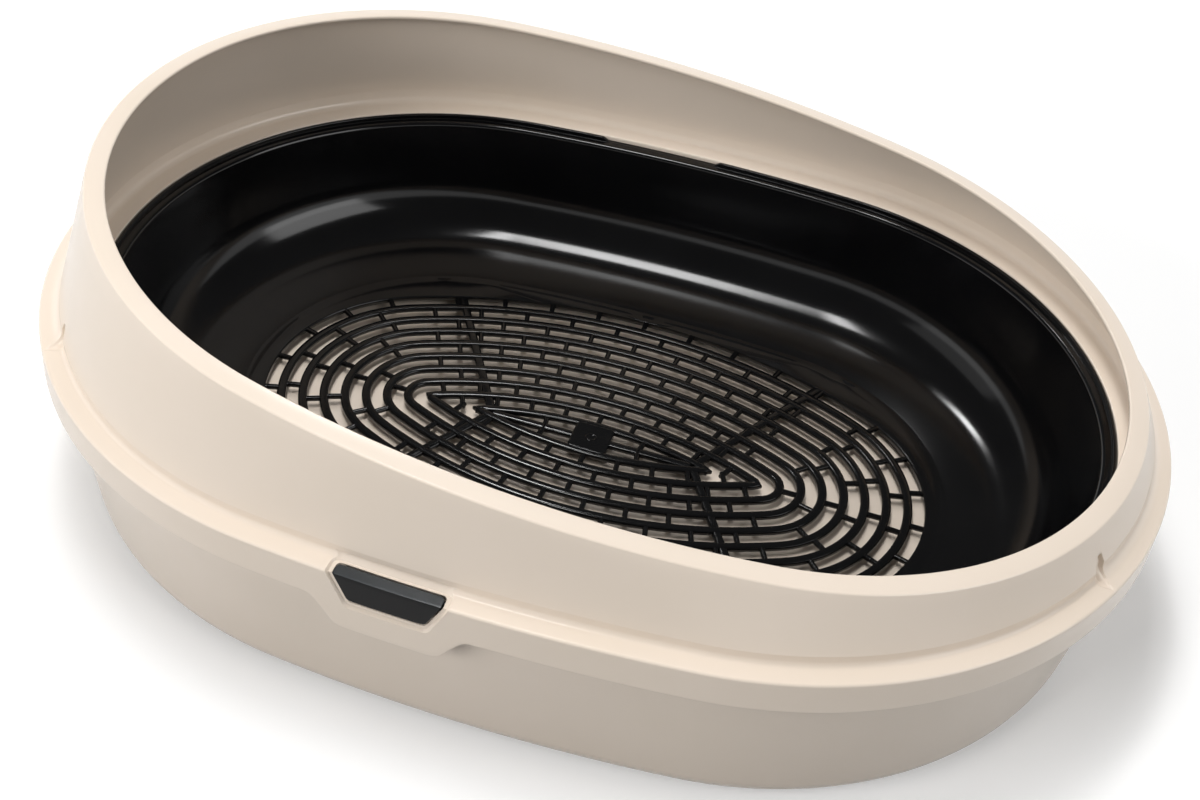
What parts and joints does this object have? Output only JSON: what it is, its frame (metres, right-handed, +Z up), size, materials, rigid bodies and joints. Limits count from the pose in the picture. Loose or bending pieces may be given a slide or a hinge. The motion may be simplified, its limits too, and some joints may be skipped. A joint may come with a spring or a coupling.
{
  "type": "sifting litter box",
  "caption": "Oval cat litter box: nested pans, a lift-out black sieve tray with an oval slotted grate, and a raised sloping rim held by side latches.",
  "frame": {"origin": "on the floor, under the middle of the oval plan", "axes": "+X along the length towards the low entrance end, -Y towards the front latch, +Z up"},
  "size_m": [0.59, 0.4364, 0.1805],
  "materials": {
    "beige_shell": "satin moulded polypropylene",
    "black_tray": "glossy moulded polypropylene",
    "black_latch": "satin moulded polypropylene"
  },
  "bodies": {
    "base": {"base_pan": "beige_shell"},
    "litter": {"litter_pan": "beige_shell"},
    "sieve": {"sieve_bowl": "black_tray", "sieve_grate": "black_tray"},
    "rim": {"rim": "beige_shell"},
    "front_latch": {"latch_front": "black_latch"},
    "back_latch": {"latch_back": "black_latch"}
  },
  "joints": [
    {"name": "litter_pan_lift", "type": "slide", "parent": "base", "child": "litter", "axis": [0, 0, 1], "range_m": [0, 0.11]},
    {"name": "sieve_lift", "type": "slide", "parent": "litter", "child": "sieve", "axis": [0, 0, 1], "range_m": [0, 0.1]},
    {"name": "rim_lift", "type": "slide", "parent": "sieve", "child": "rim", "axis": [0, 0, 1], "range_m": [0, 0.08]},
    {"name": "latch_front_hinge", "type": "hinge", "parent": "rim", "child": "front_latch", "pos_m": [-0.03334, -0.21307, 0.1023], "axis": [-0.9994, 0.0345, 0], "range_deg": [0, 60]},
    {"name": "latch_back_hinge", "type": "hinge", "parent": "rim", "child": "back_latch", "pos_m": [-0.03334, 0.21307, 0.1023], "axis": [0.9994, 0.0345, 0], "range_deg": [0, 60]}
  ]
}
